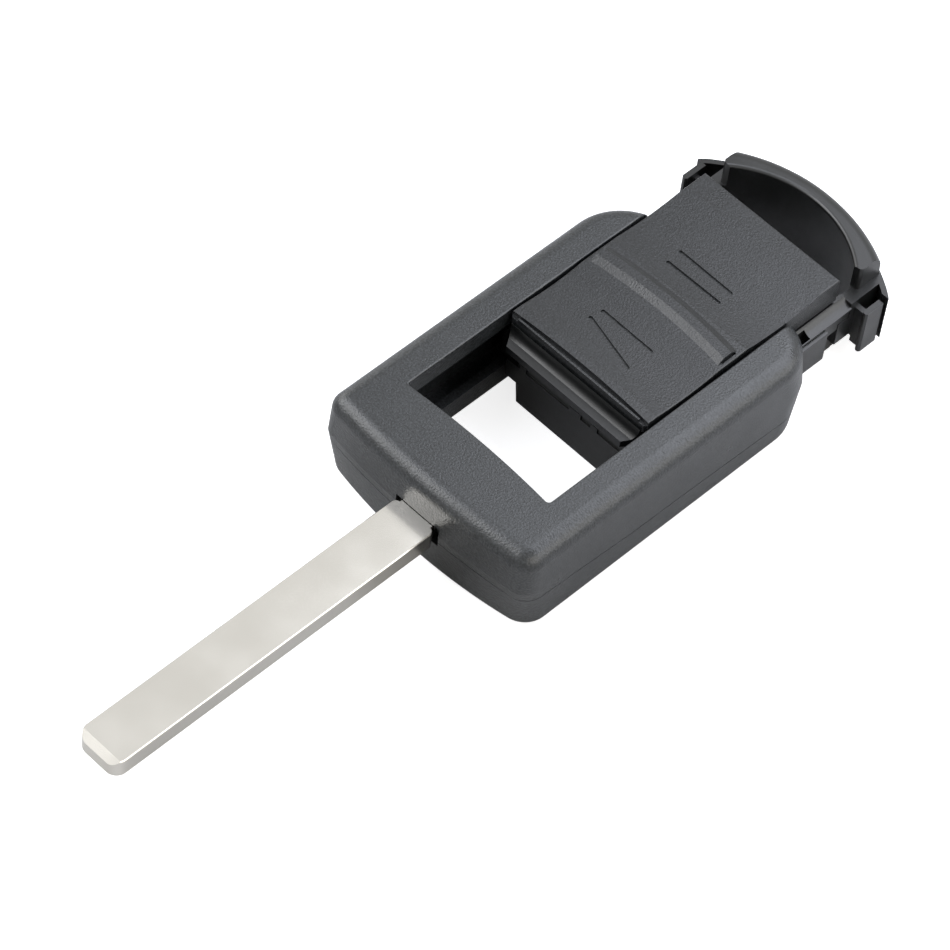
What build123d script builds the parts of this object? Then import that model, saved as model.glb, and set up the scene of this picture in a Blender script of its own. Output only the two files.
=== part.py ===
from build123d import *
import os
from math import sqrt

os.makedirs("parts", exist_ok=True)

# Key head, outside sizes in millimetres, y runs from the blade tip to the ring end
head_width = 34.6
head_height = 14.3
head_rear = 44.1
front_apex = -9.5
belly_height = 7.5
top_round = 2.3
bottom_round = 1.0

# Head's plans at top, belly and bottom: draw-in of sides, front and rear, bulge of the front, corner radii
top_plan = {"side": 0.1, "front": 0.2, "rear": 1.05, "bulge": 200.0,
            "nose_right": 2.9, "nose_left": 2.45, "tail_right": 6.4, "tail_left": 8.6}
belly_plan = {"side": 0.0, "front": 0.0, "rear": 0.0, "bulge": 115.0,
              "nose_right": 2.5, "nose_left": 1.3, "tail_right": 6.0, "tail_left": 8.2}
bottom_plan = {"side": 0.0, "front": 0.6, "rear": 0.3, "bulge": 74.0,
               "nose_right": 3.7, "nose_left": 3.4, "tail_right": 7.2, "tail_left": 9.2}

# Parting line of the two head halves seen from the side, it falls towards the ring end
parting_points = [(-11.0, 6.3), (1.0, 5.4), (10.0, 4.65), (22.0, 4.3), (36.0, 3.65), (46.0, 3.3)]
seam_gap = 0.1
seam_depth = 0.22

# Window through the head and the rail channels beside it
window_width = 24.0
window_bulge = 0.55
window_corner = 0.5
window_edge = 0.22
lip_width = 1.2
lower_lip = 3.3
upper_lip = 11.4
cavity_floor = 1.5
cavity_roof = 12.6
outer_wall = 1.5
mouth_high = 10.3
channel_front = 0.6

# Blade and its tang
blade_width = 6.74
blade_low = 5.76
blade_high = 8.61
blade_root = -9.75
blade_tip = -61.1
tip_corner = 1.6
tip_bevel = 0.9
shoulder_round = 0.8
blade_edge = 0.12
tang_width = 5.2
tang_front = -8.0
tang_end = -2.0
pin_radius = 1.4
pin_y = -5.2
pin_low = 3.0
fit_clearance = 0.08
slot_half = 3.65
slot_room = 0.12

# Hollows of the front block
core_inner = 5.4
core_outer = 14.9
core_front = -7.0
core_rear = -2.4
core_low = 2.2
tongue_pocket = 10.9
pocket_front = -1.9
pocket_low = 9.9
pocket_high = 12.85

# Slide module, drawn in the half open place of the picture
slide_run = 16.2
cover_half = 11.57
cover_front = 17.2
cover_rear = 52.0
cover_top = 14.6
cover_wall = 1.1
cover_front_wall = 1.25
cover_skin = 1.35
cover_skirt = 10.75
cover_edge = 0.2
pivot_y = 32.4
pivot_z = 11.75
pivot_radius = 0.8
press_points = (25.0, 41.0)
press_pip = 1.5

# Front edge of the cover: a crowned edge, a groove before it and a thin lip
edge_arc_side = 17.6
edge_arc_mid = 18.1
edge_groove = 0.6
lip_half = 10.3
lip_thick = 0.28
lip_drop = 0.2
plate_rear = 20.0
plate_corner = 0.7

# Cross ridge of the cover
ridge_front = 31.1
ridge_crest_front = 32.3
ridge_crest_rear = 33.6
ridge_rear = 35.0
ridge_height = 0.62
ridge_foot = 0.15
ridge_end = 10.9
ridge_radius = 74.7
ridge_slit = 0.2

# Finger hollows of the cover (middle, length, depth) and the pressed-in bars (two ends each)
front_hollow = (24.6, 11.0, 0.42)
rear_hollow = (41.7, 13.4, 0.54)
bar_width = 0.58
bar_depth = 0.22
front_bars = [(-5.0, 24.4, 4.0, 22.0), (-4.7, 26.2, 4.1, 26.1)]
rear_bars = [(-4.9, 38.0, 4.2, 38.1), (-5.1, 40.5, 4.1, 40.4)]

# Case of the module: rails with a groove under the concave ledge
rail_half = 13.55
rail_front = 19.0
rail_rear = 49.0
rail_high = 8.5
groove_low = 8.65
groove_high = 8.8
groove_depth = 0.3
ledge_step = 0.35
ledge_low = 9.3
ledge_high = 10.35
ledge_lip = 0.3
ledge_sag = 0.35
ledge_rear = 53.6
case_low = 6.4
case_front = 17.2
case_top = 12.55
nose_half = 9.1
island_half = 10.2
island_front = 18.75
island_gap = 0.35
island_round = 0.4
board_half = 9.0
board_front = 19.8
board_rear = 50.2
board_roof = 1.2
press_hole = 3.3

# Tongue ahead of the cover: flat shelf, concave rise, crest
tongue_front = 15.1
tongue_half = 9.75
tongue_side = 0.4
tongue_nose = 11.35
tongue_thick = 1.1
shelf_rear = 16.2
shelf_rise = 0.12
crest_y = 16.93
crest_high = 13.2
tongue_top = 12.3
tongue_room = 0.45

# Notches of the ledge, recess and snap tabs of the front wall (left and right end)
notch = (11.9, 13.1, 42.0, 46.0)
notch_low = 8.1
recess = (-2.6, 4.3)
recess_low = 7.0
recess_high = 8.8
recess_depth = 0.5
front_slot = (4.8, 5.1)
snap_tabs = [(-8.7, -7.6), (-0.2, 1.8), (3.5, 4.6)]
snap_high = 7.2

# Guide ribs in the side cavities hold the rails down on the lower lips
guide_reach = 12.95
guide_front = 2.0
guide_rear = 34.5
guide_thick = 0.8
slide_play = 0.12
flange_low = lower_lip + slide_play
guide_low = ledge_low + slide_play

# Base of the module
base_half = 11.85
base_front_half = 8.5
base_low = 0.15
base_front = 17.0
base_shoulder = 20.3
base_flange_half = 10.9
base_step = 49.0
base_step_low = 1.2
cell_y = 31.5
cell_radius = 10.15
cell_depth = 3.4
board_depth = 1.6

# Ring bow and its arms
bow_end = 63.25
bow_half = 17.2
bow_corner = 6.0
right_crown = 25.0
left_crown = 22.8
bow_high = 13.8
bow_low = 1.3
bow_belly = 6.5
bow_draw = 0.6
bow_round = 1.9
bow_bead = 0.5
bow_inner = 16.0
bow_inner_y = 43.9
bow_open_half = 11.1
bow_end_half = 11.9
bow_end_round = 0.5
bow_front = 55.8
arm_half = 13.0
arm_rear = 56.0
arm_top = 10.0

# Wings and hooks, which differ from side to side
wing_thick = 0.75
wing_lap = 1.5
wing_low = 2.35
right_wing_front = 57.8
left_wing_front = 56.3
hook_thick = 0.8
hook_low = 2.0
hook_chamfer = 0.25
right_hook_outer = 15.2
right_hook_front = 54.2
right_hook_rear = 57.3
right_hook_high = 9.3
left_hook_outer = 15.55
left_hook_front = 52.6
left_hook_rear = 56.3
left_hook_high = 10.0
web_low = 2.6
web_high = 8.9
web_thick = 0.8

# The head's side cavities take the hooks, their mouths take the wings, and the lower lips pass under both
cavity_side = head_width / 2 - outer_wall
right_mouth = right_wing_front - slide_run - 0.2
left_mouth = left_wing_front - slide_run - 0.2
mouth_low = hook_low - 0.1
lip_reach = window_width / 2 + lip_width
lip_end = head_rear + slide_run + 0.2

# Far ends of cutting and trimming shapes, well outside the part
past_side = 20.0
past_rear = 70.0
past_top = 20.0

# The bounding box is centred on the origin lengthwise
y_shift = -(blade_tip + bow_end) / 2


def box(x0, x1, y0, y1, z0, z1):
    """Box between two corners."""
    centre = ((x0 + x1) / 2, (y0 + y1) / 2, (z0 + z1) / 2)
    return Location(centre) * Box(abs(x1 - x0), abs(y1 - y0), abs(z1 - z0))


def both_sides(shape):
    """The shape and its mirror image across the middle plane."""
    return shape + mirror(shape, about=Plane.YZ)


def prism_x(points, half):
    """Outline in the length-height plane, run across the width from -half to half."""
    face = make_face(Polyline([(-half, y, z) for y, z in points] + [(-half, *points[0])]))
    return extrude(face, amount=2 * half, dir=(1, 0, 0))


def prism_z(points, z0, z1):
    """Outline in plan, run upwards."""
    face = make_face(Polyline([(x, y, z0) for x, y in points] + [(*points[0], z0)]))
    return extrude(face, amount=z1 - z0, dir=(0, 0, 1))


def plan_side(half, apex, bulge, nose, end_y, tail):
    """Right half of a plan with a bulged front: half the front, front corner, side, rear corner."""
    centre_y = apex + bulge
    corner_x = half - nose
    corner_y = centre_y - sqrt((bulge - nose) ** 2 - corner_x ** 2)
    touch = Vector(corner_x, corner_y - centre_y).normalized() * bulge
    middle = Vector(touch.X / 2, -sqrt(bulge ** 2 - touch.X ** 2 / 4))
    s = sqrt(0.5)
    cut = tail * (1 - s)
    return [
        ThreePointArc((0, apex), middle + (0, centre_y), touch + (0, centre_y)),
        ThreePointArc(touch + (0, centre_y), (corner_x + nose * s, corner_y - nose * s), (half, corner_y)),
        Line((half, corner_y), (half, end_y - tail)),
        ThreePointArc((half, end_y - tail), (half - cut, end_y - cut), (half - tail, end_y)),
    ]


def head_outline(side, front, rear, bulge, nose_right, nose_left, tail_right, tail_left):
    """Plan of the key head, bulged front wall and rounded corners, drawn in by the given amounts."""
    half = head_width / 2 - side
    apex = front_apex + front
    end_y = head_rear - rear
    right = plan_side(half, apex, bulge, nose_right, end_y, tail_right)
    left = [mirror(e, about=Plane.YZ) for e in plan_side(half, apex, bulge, nose_left, end_y, tail_left)]
    back = [Line((half - tail_right, end_y), (tail_left - half, end_y))]
    return make_face(Curve() + right + back + left)


def bellied(low_face, low, belly_face, belly, high_face, high):
    """Solid between three plans, widest at the belly, drawn in above and below it."""
    waist = Pos(0, 0, belly) * belly_face
    under = loft([Pos(0, 0, low) * low_face, waist], ruled=True)
    over = loft([waist, Pos(0, 0, high) * high_face], ruled=True)
    return under + over


def parting_slab(low, high):
    """Slab that follows the parting line, from low to high measured off it."""
    under = [(y, z + low) for y, z in parting_points]
    over = [(y, z + high) for y, z in reversed(parting_points)]
    return prism_x(under + over, head_width)


def window_plan():
    """Plan of the window, its front edge bulged towards the ring end."""
    half = window_width / 2
    edge = ThreePointArc((-half, 0), (0, window_bulge), (half, 0))
    sides = Polyline((half, 0), (half, past_rear), (-half, past_rear), (-half, 0))
    face = make_face(Curve() + [edge, sides])
    front = face.vertices().sort_by(Axis.Y)[:2]
    return fillet(front, window_corner)


def side_rooms(mouth):
    """Channel, cavity and mouth in the right bar, less the guide rib; the mouth starts at the given place."""
    channel = box(window_width / 2 - 0.5, lip_reach + 0.01, channel_front, past_rear, lower_lip, upper_lip)
    cavity = box(lip_reach, cavity_side, channel_front, mouth + 0.5, cavity_floor, cavity_roof)
    way = box(lip_reach, head_width, mouth, past_rear, mouth_low, mouth_high)
    guide = box(guide_reach, cavity_side, guide_front, guide_rear, guide_low, guide_low + guide_thick)
    return channel + cavity + way - guide


def head_block():
    """Head with window, channels and inner hollows, both halves in one."""
    body = bellied(head_outline(**bottom_plan), 0, head_outline(**belly_plan), belly_height,
                   head_outline(**top_plan), head_height)
    body = fillet(body.edges().group_by(Axis.Z)[-1], top_round)
    body = fillet(body.edges().group_by(Axis.Z)[0], bottom_round)
    body -= Pos(0, 0, -1) * extrude(window_plan(), amount=head_height + 2)
    rim = body.edges().group_by(Axis.Z)[-1].filter_by(
        lambda e: abs(e.center().X) < window_width / 2 + 0.01 and e.center().Y < head_rear - 3)
    body = fillet(rim, window_edge)
    body -= side_rooms(right_mouth) + mirror(side_rooms(left_mouth), about=Plane.YZ)
    body -= both_sides(box(core_inner, core_outer, core_front, core_rear, core_low, cavity_roof))
    body -= box(-tongue_pocket, tongue_pocket, pocket_front, 1.0, pocket_low, pocket_high)
    return body


def tang_space():
    """Room for the tang and the slot in the front wall."""
    room = slot_room
    slot = box(-slot_half, slot_half, front_apex - 2, tang_front + 0.1, blade_low - 0.3, blade_high + room)
    tang = box(-tang_width / 2 - room, tang_width / 2 + room, tang_front, tang_end + room,
               blade_low - 0.02, blade_high + 0.02)
    return slot + tang


def head_halves():
    """Upper and lower half of the head, parted along the side line."""
    block = head_block() - tang_space()
    inner_plan = {**belly_plan, "side": seam_depth, "front": seam_depth, "rear": seam_depth}
    inside = extrude(head_outline(**inner_plan), amount=head_height)
    block -= parting_slab(-seam_gap / 2, seam_gap / 2) - inside
    upper = block & parting_slab(0, past_top)
    lower = block & parting_slab(-past_top, 0)
    pin = Cylinder(pin_radius, blade_high - pin_low, align=(Align.CENTER, Align.CENTER, Align.MIN))
    lower += Pos(0, pin_y, pin_low) * pin
    return upper, lower


def key_blade():
    """Flat uncut blade with a bevelled tip, round shoulders and a drilled tang."""
    half = blade_width / 2
    plan = make_face(Polyline((-half, blade_root), (half, blade_root), (half, blade_tip),
                              (-half, blade_tip), (-half, blade_root)))
    tips = plan.vertices().sort_by(Axis.Y)[:2]
    plan = fillet(tips, tip_corner)
    roots = plan.vertices().sort_by(Axis.Y)[-2:]
    plan = fillet(roots, shoulder_round)
    blade = Pos(0, 0, blade_low) * extrude(plan, amount=blade_high - blade_low)
    rim = blade.edges().group_by(Axis.Z)[-1] + blade.edges().group_by(Axis.Z)[0]
    blade = chamfer(rim, blade_edge)
    wedge = [(blade_tip - 1, blade_high - tip_bevel - 1), (blade_tip - 1, blade_high + 1),
             (blade_tip + tip_bevel + 1, blade_high + 1)]
    blade -= prism_x(wedge, blade_width)
    tang = box(-tang_width / 2, tang_width / 2, blade_root - 0.6, tang_end, blade_low, blade_high)
    blade += tang
    hole = Pos(0, pin_y, 5) * Cylinder(pin_radius + fit_clearance, 20)
    return blade - hole


def finger_hollow(y_mid, length, depth, drop=0.0):
    """Lying cylinder that presses a finger hollow across the cover, lowered by drop."""
    radius = (length ** 2 / 4 + depth ** 2) / (2 * depth)
    return Pos(0, y_mid, cover_top - depth - drop + radius) * Rot(0, 90, 0) * Cylinder(radius, 3 * cover_half)


def pressed_bars(bars, hollow):
    """Grooves between pairs of points in a finger hollow, all equally deep."""
    tool = Part()
    for x0, y0, x1, y1 in bars:
        run = sqrt((x1 - x0) ** 2 + (y1 - y0) ** 2)
        middle = ((x0 + x1) / 2, (y0 + y1) / 2, cover_top - 1)
        line = Plane(origin=middle, x_dir=(x1 - x0, y1 - y0, 0), z_dir=(0, 0, 1))
        tool += line * extrude(SlotOverall(run, bar_width), amount=2.0)
    return tool & finger_hollow(*hollow, drop=bar_depth)


def cross_ridge():
    """Curved ridge between the two hollows, its ends square to the cover's sides."""
    foot = cover_top - 0.4
    crest = cover_top + ridge_height
    shoulder = cover_top - ridge_foot
    profile = [(ridge_front, foot), (ridge_front, shoulder), (ridge_crest_front, crest),
               (ridge_crest_rear, crest), (ridge_rear, shoulder), (ridge_rear, foot)]
    face = make_face(Polyline([(0, y, z) for y, z in profile] + [(0, *profile[0])]))
    axis = Axis((0, ridge_crest_front - 0.2 - ridge_radius, 0), (0, 0, 1))
    return revolve(face.rotate(axis, -10), axis, 20) & box(-ridge_end, ridge_end, 0, past_rear, 0, past_top)


def button_cover():
    """One-piece cover with two finger hollows, a cross ridge and pressed-in bars."""
    half = cover_half
    edge = ThreePointArc((-half, edge_arc_side), (0, edge_arc_mid), (half, edge_arc_side))
    rest = Polyline((half, edge_arc_side), (half, cover_rear), (-half, cover_rear), (-half, edge_arc_side))
    plan = make_face(Curve() + [edge, rest])
    cover = Pos(0, 0, cover_skirt) * extrude(plan, amount=cover_top - cover_skirt)
    cover -= finger_hollow(*front_hollow) + finger_hollow(*rear_hollow)
    rim = cover.edges().filter_by(lambda e: e.center().Z > cover_top - 0.5)
    rim = rim.filter_by(lambda e: abs(e.center().X) > half - 0.1 or e.center().Y > cover_rear - 0.1)
    cover = fillet(rim, cover_edge)
    plate_y = (cover_front + plate_rear) / 2
    low_plan = Plane.XY * Pos(0, plate_y) * Rectangle(2 * half, plate_rear - cover_front)
    low_plan = fillet(low_plan.vertices().sort_by(Axis.Y)[:2], plate_corner)
    cover += Pos(0, 0, cover_skirt) * extrude(low_plan, amount=cover_top - edge_groove - cover_skirt)
    cover += box(-lip_half, lip_half, cover_front, cover_front + lip_thick, cover_skirt, cover_top - lip_drop)
    cover += cross_ridge()
    slit = box(ridge_end, ridge_end + ridge_slit, ridge_front, ridge_crest_rear, cover_top - 0.4, past_top)
    cover -= both_sides(slit)
    cover -= box(-half + cover_wall, half - cover_wall, cover_front + cover_wall, cover_rear - cover_wall,
                 cover_skirt - 1, cover_top - cover_skin)
    cover -= box(-half - 1, half + 1, cover_front - 1, cover_front + cover_front_wall, cover_skirt - 1,
                 tongue_top + tongue_room)
    cover -= pressed_bars(front_bars, front_hollow) + pressed_bars(rear_bars, rear_hollow)
    cover += [Pos(0, y, cover_top - cover_skin - 0.3) * Cylinder(press_pip, 1.0) for y in press_points]
    pivot = Pos(half - cover_wall - 0.55, pivot_y, pivot_z) * Rot(0, 90, 0) * Cylinder(pivot_radius, 1.5)
    return cover + both_sides(pivot)


def rail_section():
    """Cross-section of the case, facing along the length: rails, grooves and concave ledges."""
    edge = rail_half - ledge_step
    groove = edge - groove_depth
    top = (cover_half + 0.05, ledge_high)
    hollow = ThreePointArc(top, ((top[0] + edge) / 2 - 0.1, ledge_low + ledge_sag), (edge, ledge_low))
    side = Polyline((edge, ledge_low), (edge, ledge_low - ledge_lip), (groove, groove_high),
                    (groove, groove_low), (rail_half, rail_high), (rail_half, case_low))
    left = [mirror(e, about=Plane.YZ) for e in (hollow, side)]
    close = [Line(top, (-top[0], ledge_high)), Line((rail_half, case_low), (-rail_half, case_low))]
    return Plane.XZ * make_face(Curve() + [hollow, side] + left + close)


def tongue():
    """Ramp ahead of the cover: flat shelf, concave rise to a crest, then level under the cover's front."""
    half = cover_half - tongue_side
    rear = cover_front + cover_front_wall - 0.1
    shelf_high = tongue_nose + shelf_rise
    bend = (-half, shelf_rear + 0.62 * (crest_y - shelf_rear), shelf_high + 0.3 * (crest_high - shelf_high))
    rise = ThreePointArc((-half, shelf_rear, shelf_high), bend, (-half, crest_y, crest_high))
    low = tongue_nose - tongue_thick
    under = Polyline((-half, crest_y, crest_high), (-half, crest_y + 0.05, crest_high),
                     (-half, crest_y + 0.1, tongue_top), (-half, rear, tongue_top),
                     (-half, rear, low), (-half, tongue_front, low),
                     (-half, tongue_front, tongue_nose), (-half, shelf_rear, shelf_high))
    ramp = extrude(make_face(Curve() + [rise, under]), amount=2 * half, dir=(1, 0, 0))
    plan = [(-tongue_half, tongue_front), (tongue_half, tongue_front), (half, cover_front + 0.1),
            (half, past_rear), (-half, past_rear), (-half, cover_front + 0.1)]
    return ramp & prism_z(plan, 0, past_top)


def module_case():
    """Carrier with rails, tongue, island, arms, ring bow, wings and hooks, one moulding."""
    body = Pos(0, ledge_rear, 0) * extrude(rail_section(), amount=ledge_rear - rail_front)
    body -= box(-bow_open_half, bow_open_half, cover_rear, past_rear, 0, past_top)
    rail_foot = rail_half - ledge_step - groove_depth
    body -= both_sides(box(rail_foot, past_side, rail_rear, past_rear, 0, groove_low))
    body += box(-nose_half, nose_half, case_front, board_front, case_low, ledge_high)
    island = box(-island_half, island_half, island_front, cover_rear - cover_wall - island_gap,
                 ledge_high - 0.5, case_top)
    body += fillet(island.edges().group_by(Axis.Z)[-1], island_round)
    body += tongue()
    body += box(-nose_half, nose_half, cover_front + 0.3, island_front + 0.5, ledge_high - 0.5, tongue_top)
    body -= box(-board_half, board_half, board_front, board_rear, case_low - 1, case_top - board_roof)
    body -= both_sides(box(*notch, notch_low, past_top))
    bore = Pos(island_half, pivot_y, pivot_z) * Rot(0, 90, 0) * Cylinder(pivot_radius + fit_clearance, 3)
    body -= both_sides(bore)
    body -= [Pos(0, y, case_top) * Cylinder(press_hole, 4) for y in press_points]
    body -= box(*recess, case_front - 1, case_front + recess_depth, recess_low, recess_high)
    body -= box(*front_slot, case_front - 1, case_front + recess_depth, recess_low, pocket_low)
    return body + ring_bow()


def bow_side(crown, inset):
    """Right half of the ring end's plan: crowned arc, corner and side, drawn in by inset."""
    corner_x = bow_half - bow_corner
    centre_y = bow_end - crown
    corner_y = centre_y + sqrt((crown - bow_corner) ** 2 - corner_x ** 2)
    touch = Vector(corner_x, corner_y - centre_y).normalized() * (crown - inset)
    middle = Vector(touch.X / 2, sqrt((crown - inset) ** 2 - touch.X ** 2 / 4))
    turn = (bow_corner - inset) * sqrt(0.5)
    side = bow_half - inset
    return [
        ThreePointArc((0, bow_end - inset), middle + (0, centre_y), touch + (0, centre_y)),
        ThreePointArc(touch + (0, centre_y), (corner_x + turn, corner_y + turn), (side, corner_y)),
        Line((side, corner_y), (side, bow_inner_y)),
    ]


def bow_outline(crown_right, crown_left, inset=0.0):
    """Plan of the ring end, its crown given for each side."""
    right = bow_side(crown_right, inset)
    left = [mirror(e, about=Plane.YZ) for e in bow_side(crown_left, inset)]
    close = [Line((bow_half - inset, bow_inner_y), (inset - bow_half, bow_inner_y))]
    return make_face(Curve() + right + left + close)


def bow_arch():
    """Arc of the ring end, set on the arms, its inner top edge rounded like a bead."""
    drawn = bow_outline(right_crown, left_crown, bow_draw)
    arch = bellied(drawn, bow_low, bow_outline(right_crown, left_crown), bow_belly, drawn, bow_high)
    arch = fillet(arch.edges().group_by(Axis.Z)[-1].filter_by(GeomType.CIRCLE), bow_round)
    arch = fillet(arch.edges().group_by(Axis.Z)[0].filter_by(GeomType.CIRCLE), bottom_round)
    opening = Pos(0, bow_inner_y, -1) * Cylinder(bow_inner, 20, align=(Align.CENTER, Align.CENTER, Align.MIN))
    opening &= box(-bow_open_half, bow_open_half, cover_rear, past_rear, -2, past_top)
    arch -= opening
    upper = box(-bow_end_half, bow_end_half, bow_front, past_rear, arm_top - 0.01, past_top)
    upper = fillet(upper.edges().filter_by(Axis.Z).group_by(Axis.Y)[0], bow_end_round)
    arch &= box(-arm_half, arm_half, right_hook_front, past_rear, -1, arm_top) + upper
    rims = arch.edges().group_by(Axis.Z)[-1].filter_by(GeomType.CIRCLE)
    inner = rims.sort_by(lambda e: abs(e.radius - bow_inner))[0]
    return fillet(inner, bow_bead)


def side_catch(crown, wing_front, hook_outer, hook_front, hook_rear, hook_high):
    """Right side: thin wing round the bow's corner, hook ahead of it, and the web that carries the hook."""
    ring = bow_outline(crown, crown) - bow_outline(crown, crown, wing_thick)
    skin = Pos(0, 0, wing_low) * extrude(ring, amount=arm_top - wing_low)
    wing = skin & box(arm_half - wing_lap, past_side, wing_front, past_rear, wing_low, arm_top)
    web_front = right_hook_front + 0.2
    web = box(base_half, hook_outer - hook_thick + 0.1, web_front, web_front + web_thick, web_low, web_high)
    hook = box(hook_outer - hook_thick, hook_outer, hook_front, hook_rear, hook_low, hook_high)
    hook = chamfer(hook.edges().filter_by(Axis.Z).group_by(Axis.Y)[0], hook_chamfer)
    return wing, web, hook


def ring_bow():
    """Key-ring arc with its arms, thin side wings and hooks."""
    arm = box(bow_open_half, arm_half, ledge_rear, arm_rear, flange_low + 0.1, arm_top)
    arm += box(bow_open_half, arm_half, cover_rear - 0.3, ledge_rear + 0.1, flange_low + 0.1, case_low + 1)
    arm += box(bow_open_half - 0.6, base_half, cover_rear + 0.8, arm_rear, bow_low, flange_low + 0.2)
    wing_r, web_r, hook_r = side_catch(right_crown, right_wing_front, right_hook_outer, right_hook_front,
                                       right_hook_rear, right_hook_high)
    wing_l, web_l, hook_l = side_catch(left_crown, left_wing_front, left_hook_outer, left_hook_front,
                                       left_hook_rear, left_hook_high)
    lip_way = box(base_half, past_side, cover_rear - 2, lip_end, -1, mouth_low + 0.1)
    lip_way += box(base_half, lip_reach + 0.1, cover_rear - 2, lip_end, -1, flange_low + 0.1)
    bow = bow_arch() + both_sides(arm) + wing_r + web_r + mirror(wing_l + web_l, about=Plane.YZ)
    bow -= both_sides(lip_way)
    bow += hook_r + mirror(hook_l, about=Plane.YZ)
    link = box(-cover_half, cover_half, cover_rear - 1.9, cover_rear, case_low, ledge_high)
    return bow + link


def module_base():
    """Lower case of the module with the coin cell well and the flange that runs in the channels."""
    rear = cover_rear - 0.4
    flange = box(-rail_half, rail_half, rail_front, base_step, flange_low, case_low)
    flange += box(-base_half, base_half, base_step - 1, rear, flange_low, case_low)
    flange += box(-base_flange_half, base_flange_half, base_front, rail_front + 0.2, flange_low, case_low)
    lower = box(-base_half, base_half, base_shoulder - 0.1, base_step, base_low, flange_low + 0.1)
    lower += box(-base_half, base_half, base_step - 0.2, rear + 1.1, base_step_low, flange_low + 0.1)
    nose = [(-base_front_half, base_front), (base_front_half, base_front), (base_half, base_shoulder),
            (-base_half, base_shoulder)]
    lower += prism_z(nose, base_low, flange_low + 0.1)
    tabs = [box(*tab, base_front, case_front, case_low - 0.1, snap_high) for tab in snap_tabs]
    cell = Cylinder(cell_radius, 10, align=(Align.CENTER, Align.CENTER, Align.MIN))
    board = box(-board_half, board_half, board_front, board_rear, case_low - board_depth, 10)
    return flange + lower + tabs - Pos(0, cell_y, case_low - cell_depth) * cell - board


upper, lower = head_halves()
pieces = {
    "head_upper": upper,
    "head_lower": lower,
    "key_blade": key_blade(),
    "button_cover": button_cover(),
    "module_case": module_case(),
    "module_base": module_base(),
}
for name, shape in pieces.items():
    solids = shape.solids()
    print(name, len(solids), [round(s.volume, 1) for s in solids])
    export_step(Pos(0, y_shift, 0) * shape, f"parts/{name}.step")
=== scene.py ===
import math

import bpy
from mathutils import Matrix, Vector

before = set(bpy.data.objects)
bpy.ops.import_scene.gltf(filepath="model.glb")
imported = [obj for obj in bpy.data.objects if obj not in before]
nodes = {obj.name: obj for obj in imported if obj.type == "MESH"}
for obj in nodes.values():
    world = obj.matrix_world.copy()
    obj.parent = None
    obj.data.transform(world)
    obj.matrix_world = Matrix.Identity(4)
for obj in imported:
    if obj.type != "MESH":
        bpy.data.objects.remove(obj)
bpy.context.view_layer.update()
print("frame loaded:", sorted(nodes))

mm = 0.001  # the scene is in metres


# sRGB hex to the linear colour that a shader socket takes
def linear(hexColour):
    shares = [int(hexColour[i:i + 2], 16) / 255 for i in (1, 3, 5)]
    return [c / 12.92 if c <= 0.04045 else ((c + 0.055) / 1.055) ** 2.4 for c in shares] + [1.0]


# adds one node, sets its properties and plain inputs, and links the inputs that are given as sockets;
# an input goes by its own name, with _ for a space, or by its number, as in i0
def node(tree, kind, props=None, **inputs):
    made = tree.nodes.new(kind)
    for name, value in (props or {}).items():
        setattr(made, name, value)
    for name, value in inputs.items():
        key = int(name[1:]) if name[0] == "i" and name[1:].isdigit() else name.replace("_", " ")
        socket = made.inputs[key]
        if isinstance(value, bpy.types.NodeSocket):
            tree.links.new(value, socket)
        else:
            socket.default_value = value
    return made


def newMaterial(name):
    material = bpy.data.materials.new(name)
    material.use_nodes = True
    tree = material.node_tree
    tree.nodes.clear()
    output = tree.nodes.new("ShaderNodeOutputMaterial")
    return material, tree, output


# spark-eroded ABS: a matt skin of fine pits, so that the sheen breaks into small bright grains;
# the real pits are about 0.1 mm wide, too fine to show, so they are drawn coarser
erodedAbs = {
    "colour": "#131516",
    "fleck": "#383B3D",
    "roughness": 0.31,
    "grainSize": 0.27 * mm,
    "grainDepth": 0.062 * mm,
    "waveSize": 5.0 * mm,
    "waveDepth": 0.012 * mm,
    "ior": 1.54,
}

# moulded polypropylene of the cover: its index is below that of ABS, so the sheen is weaker,
# and its grain is a little finer and shallower, drawn coarser than the real one as well
polypropylene = {
    "colour": "#0D0F10",
    "fleck": "#27292B",
    "roughness": 0.31,
    "grainSize": 0.25 * mm,
    "grainDepth": 0.052 * mm,
    "waveSize": 4.0 * mm,
    "waveDepth": 0.008 * mm,
    "ior": 1.49,
}

# satin ABS: the same plastic off a stoned steel face, so it is smoother and darker than the head
satinAbs = {
    "colour": "#0C0D0D",
    "fleck": "#141515",
    "roughness": 0.33,
    "grainSize": 0.16 * mm,
    "grainDepth": 0.008 * mm,
    "waveSize": 3.5 * mm,
    "waveDepth": 0.01 * mm,
    "ior": 1.54,
}

# what the three mouldings share: the softness of their noise, the height at which a grain turns to fleck,
# and how far the sheen wanders with the slow waves of the wall
mouldSkin = {
    "octaves": 2.0,
    "breakUp": 0.55,
    "fleckFrom": 0.35,
    "fleckTo": 0.75,
    "waveFrom": 0.3,
    "waveTo": 0.7,
    "smoother": 0.04,  # less roughness in the hollows of a wave
    "rougher": 0.05,  # more roughness on its crests
}


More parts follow.
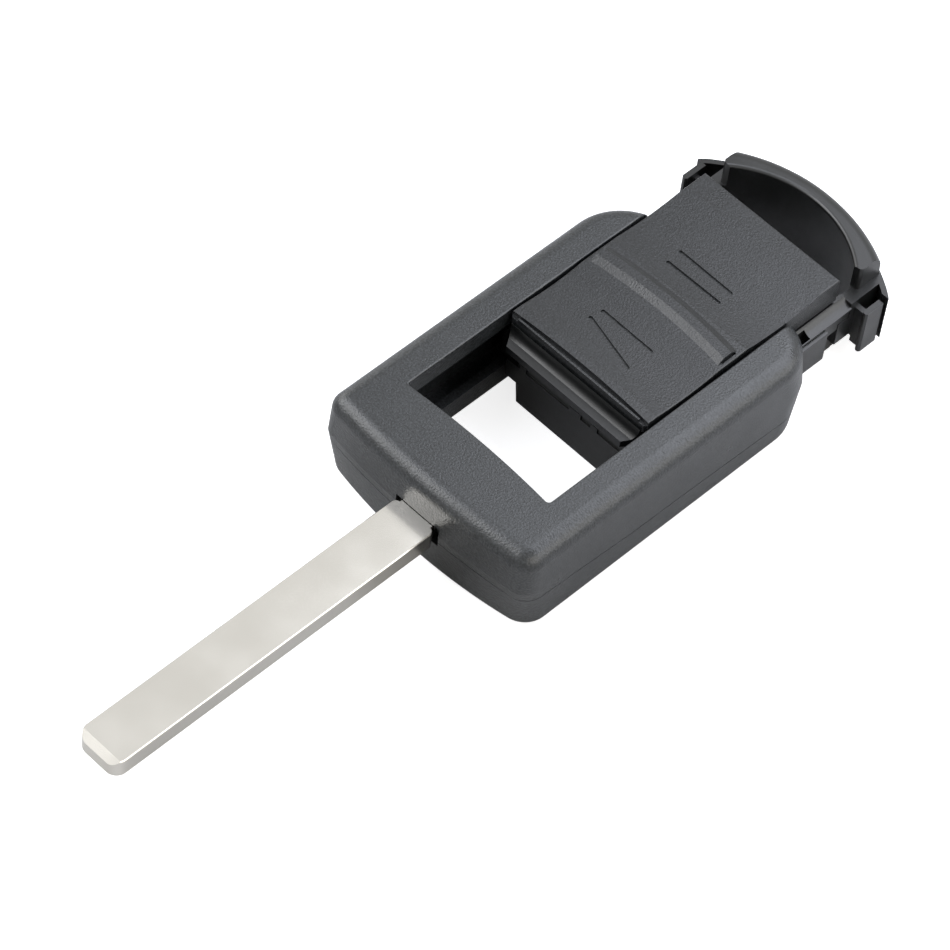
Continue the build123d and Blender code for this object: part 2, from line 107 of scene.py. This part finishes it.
def mouldedPlastic(name, look):
    material, tree, output = newMaterial(name)
    place = node(tree, "ShaderNodeTexCoord").outputs["Object"]
    grain = node(tree, "ShaderNodeTexNoise", Vector=place, Scale=1 / look["grainSize"],
                 Detail=mouldSkin["octaves"], Roughness=mouldSkin["breakUp"]).outputs["Fac"]
    wave = node(tree, "ShaderNodeTexNoise", Vector=place, Scale=1 / look["waveSize"],
                Detail=mouldSkin["octaves"]).outputs["Fac"]
    raised = node(tree, "ShaderNodeMapRange", Value=grain, From_Min=mouldSkin["fleckFrom"],
                  From_Max=mouldSkin["fleckTo"]).outputs["Result"]
    # a colour mix has its factor at input 0, its colours at 6 and 7 and its result at output 2
    tint = node(tree, "ShaderNodeMix", {"data_type": "RGBA"}, i0=raised, i6=linear(look["colour"]),
                i7=linear(look["fleck"])).outputs[2]
    swell = node(tree, "ShaderNodeBump", Height=wave, Strength=1.0,
                 Distance=look["waveDepth"]).outputs["Normal"]
    skin = node(tree, "ShaderNodeBump", Height=grain, Normal=swell, Strength=1.0,
                Distance=look["grainDepth"]).outputs["Normal"]
    rub = node(tree, "ShaderNodeMapRange", Value=wave, From_Min=mouldSkin["waveFrom"],
               From_Max=mouldSkin["waveTo"], To_Min=look["roughness"] - mouldSkin["smoother"],
               To_Max=look["roughness"] + mouldSkin["rougher"]).outputs["Result"]
    surface = node(tree, "ShaderNodeBsdfPrincipled", Base_Color=tint, Roughness=rub, Normal=skin,
                   IOR=look["ior"])
    tree.links.new(surface.outputs["BSDF"], output.inputs["Surface"])
    return material


# nickel-plated steel blank: rolled flat, then plated, so the faces are soft mirrors with faint lines along
# the key; the real lines lie about 0.03 mm apart, too close to show, so they are drawn coarser
platedSteel = {
    "colour": "#D3D0C9",
    "roughness": 0.17,
    "lineGap": 0.12 * mm,
    "lineStretch": 50,
    "lineDepth": 0.0012 * mm,
    "blotchSize": 9.0 * mm,
    "octaves": 3.0,
    "blotchFrom": 0.3,
    "blotchTo": 0.7,
    "smoother": 0.05,
    "rougher": 0.06,
}


def nickelPlate(name, look):
    material, tree, output = newMaterial(name)
    place = node(tree, "ShaderNodeTexCoord").outputs["Object"]
    along = node(tree, "ShaderNodeMapping", Vector=place,
                 Scale=(1.0, 1 / look["lineStretch"], 1.0)).outputs["Vector"]
    lines = node(tree, "ShaderNodeTexNoise", Vector=along, Scale=1 / look["lineGap"],
                 Detail=look["octaves"]).outputs["Fac"]
    blotch = node(tree, "ShaderNodeTexNoise", Vector=place, Scale=1 / look["blotchSize"],
                  Detail=look["octaves"]).outputs["Fac"]
    rub = node(tree, "ShaderNodeMapRange", Value=blotch, From_Min=look["blotchFrom"],
               From_Max=look["blotchTo"], To_Min=look["roughness"] - look["smoother"],
               To_Max=look["roughness"] + look["rougher"]).outputs["Result"]
    skin = node(tree, "ShaderNodeBump", Height=lines, Strength=1.0,
                Distance=look["lineDepth"]).outputs["Normal"]
    surface = node(tree, "ShaderNodeBsdfPrincipled", Base_Color=linear(look["colour"]), Metallic=1.0,
                   Roughness=rub, Normal=skin)
    tree.links.new(surface.outputs["BSDF"], output.inputs["Surface"])
    return material


# gives a piece its material, in every slot that it has
def dress(name, material):
    slots = nodes[name].data.materials
    if len(slots) == 0:
        slots.append(material)
    for i in range(len(slots)):
        slots[i] = material


eroded = mouldedPlastic("sparkErodedAbs", erodedAbs)
grained = mouldedPlastic("mouldedPolypropylene", polypropylene)
satin = mouldedPlastic("satinMouldedAbs", satinAbs)
nickel = nickelPlate("nickelPlatedSteel", platedSteel)
for name in ("head_upper", "head_lower"):
    dress(name, eroded)
dress("button_cover", grained)
for name in ("module_case", "module_base"):
    dress(name, satin)
dress("key_blade", nickel)
print("materials set on the moulded and plated pieces")

# studio: a pale table that keeps a faint shadow, in a room that is white to the camera and to what
# mirrors it, and nearly dark to everything else
studio = {
    "tableHalf": 1.5,
    "tableColour": "#FFFFFF",
    "tableShare": 0.75,  # of the light that falls on it
    "tableGlow": 0.8,  # added for the camera
    "tableSheen": 0.03,  # added for what mirrors the table
    "roomColour": "#FFFFFF",
    "roomSeen": 1.0,
    "roomLight": 0.03,
}


# one level for rays straight from the camera, and one for rays off metal and gloss or through glass
def seenDirectly(tree, direct, reflected):
    path = node(tree, "ShaderNodeLightPath").outputs
    bounced = node(tree, "ShaderNodeMath", {"operation": "MAXIMUM"}, i0=path["Is Glossy Ray"],
                   i1=path["Is Transmission Ray"]).outputs[0]
    sheen = node(tree, "ShaderNodeMath", {"operation": "MULTIPLY"}, i0=bounced, i1=reflected).outputs[0]
    return node(tree, "ShaderNodeMath", {"operation": "MULTIPLY_ADD"}, i0=path["Is Camera Ray"], i1=direct,
                i2=sheen).outputs[0]


def makeTable():
    half = studio["tableHalf"]
    mesh = bpy.data.meshes.new("studioTable")
    corners = [(-half, -half, 0), (half, -half, 0), (half, half, 0), (-half, half, 0)]
    mesh.from_pydata(corners, [], [(0, 1, 2, 3)])
    table = bpy.data.objects.new("studioTable", mesh)
    bpy.context.scene.collection.objects.link(table)
    material, tree, output = newMaterial("paleTable")
    share = studio["tableShare"]
    matt = node(tree, "ShaderNodeBsdfDiffuse", Color=[share, share, share, 1.0]).outputs["BSDF"]
    level = seenDirectly(tree, studio["tableGlow"], studio["tableSheen"])
    glow = node(tree, "ShaderNodeEmission", Color=linear(studio["tableColour"]), Strength=level).outputs[0]
    both = node(tree, "ShaderNodeAddShader", i0=matt, i1=glow).outputs[0]
    tree.links.new(both, output.inputs["Surface"])
    mesh.materials.append(material)


def makeRoom():
    world = bpy.data.worlds.new("studioRoom")
    bpy.context.scene.world = world
    world.use_nodes = True
    tree = world.node_tree
    tree.nodes.clear()
    output = tree.nodes.new("ShaderNodeOutputWorld")
    seen = seenDirectly(tree, 1.0, 1.0)  # 1 for both kinds of ray and 0 for the rest
    level = node(tree, "ShaderNodeMapRange", Value=seen, To_Min=studio["roomLight"],
                 To_Max=studio["roomSeen"]).outputs["Result"]
    room = node(tree, "ShaderNodeBackground", Color=linear(studio["roomColour"]), Strength=level).outputs[0]
    tree.links.new(room, output.inputs["Surface"])


# soft boxes: place, what they point at, size, radiance and tint
lamps = {
    "overheadSoftbox": {
        "place": (0.052, 0.145, 0.16), "aim": (0.052, 0.145, 0),
        "wide": 0.22, "deep": 0.15, "radiance": 3.5, "tint": "#F0F4FF",
    },
    "stripSoftbox": {
        "place": (-0.018, 0.045, 0.16), "aim": (-0.018, 0.045, 0),
        "wide": 0.05, "deep": 0.06, "radiance": 2.6, "tint": "#F0F4FF",
    },
    "ridgeSoftbox": {
        "place": (-0.14, -0.07, 0.32), "aim": (0, 0.03, 0.01),
        "wide": 0.16, "deep": 0.16, "radiance": 2.4, "tint": "#F0F4FF",
    },
    "frontLeftSoftbox": {
        "place": (-0.27, -0.24, 0.29), "aim": (0, 0, 0.01),
        "wide": 0.34, "deep": 0.32, "radiance": 4.5, "tint": "#FCFDFF",
    },
    "leftSoftbox": {
        "place": (-0.38, 0.03, 0.15), "aim": (0, 0.02, 0.01),
        "wide": 0.3, "deep": 0.24, "radiance": 1.9, "tint": "#FFFFFF",
    },
    "rightSoftbox": {
        "place": (0.4, -0.04, 0.2), "aim": (0, 0.01, 0.01),
        "wide": 0.36, "deep": 0.3, "radiance": 2.2, "tint": "#FFFAF2",
    },
    "rearSoftbox": {
        "place": (0.3, 0.26, 0.15), "aim": (0, 0.02, 0.01),
        "wide": 0.3, "deep": 0.2, "radiance": 2.4, "tint": "#FFFFFF",
    },
}


def makeLamp(name, lamp):
    light = bpy.data.lights.new(name, "AREA")
    light.shape = "RECTANGLE"
    light.size = lamp["wide"]
    light.size_y = lamp["deep"]
    # a flat lamp sends out its radiance times pi times its area
    light.energy = lamp["radiance"] * math.pi * lamp["wide"] * lamp["deep"]
    light.color = linear(lamp["tint"])[:3]
    holder = bpy.data.objects.new(name, light)
    bpy.context.scene.collection.objects.link(holder)
    holder.location = lamp["place"]
    aim = Vector(lamp["aim"]) - Vector(lamp["place"])
    holder.rotation_euler = aim.to_track_quat("-Z", "Y").to_euler()
    holder.visible_camera = False


makeTable()
makeRoom()
for name, lamp in lamps.items():
    makeLamp(name, lamp)
print("studio lit")

# the photograph's view, solved from the straight edges of the key; lens and sensor are in millimetres
view = {
    "place": (0.226196, -0.284661, 0.473241),
    "ahead": (-0.3833, 0.4808, -0.7886),
    "right": (0.7021, 0.7064, 0.0894),
    "lens": 185.39,
    "sensor": 36.0,
    "shiftX": 0.0015,
    "shiftY": 0.0,
    "nearest": 0.01,
    "farthest": 10.0,
}


def makeCamera():
    data = bpy.data.cameras.new("photoView")
    data.lens = view["lens"]
    data.sensor_width = view["sensor"]
    data.shift_x = view["shiftX"]
    data.shift_y = view["shiftY"]
    data.clip_start = view["nearest"]
    data.clip_end = view["farthest"]
    camera = bpy.data.objects.new("photoView", data)
    bpy.context.scene.collection.objects.link(camera)
    back = -Vector(view["ahead"]).normalized()
    across = Vector(view["right"]).normalized()
    upward = back.cross(across).normalized()
    across = upward.cross(back)
    turn = Matrix((across, upward, back)).transposed().to_4x4()
    camera.matrix_world = Matrix.Translation(Vector(view["place"])) @ turn
    bpy.context.scene.camera = camera


makeCamera()
bpy.context.scene.view_settings.view_transform = "Standard"
print("camera set")
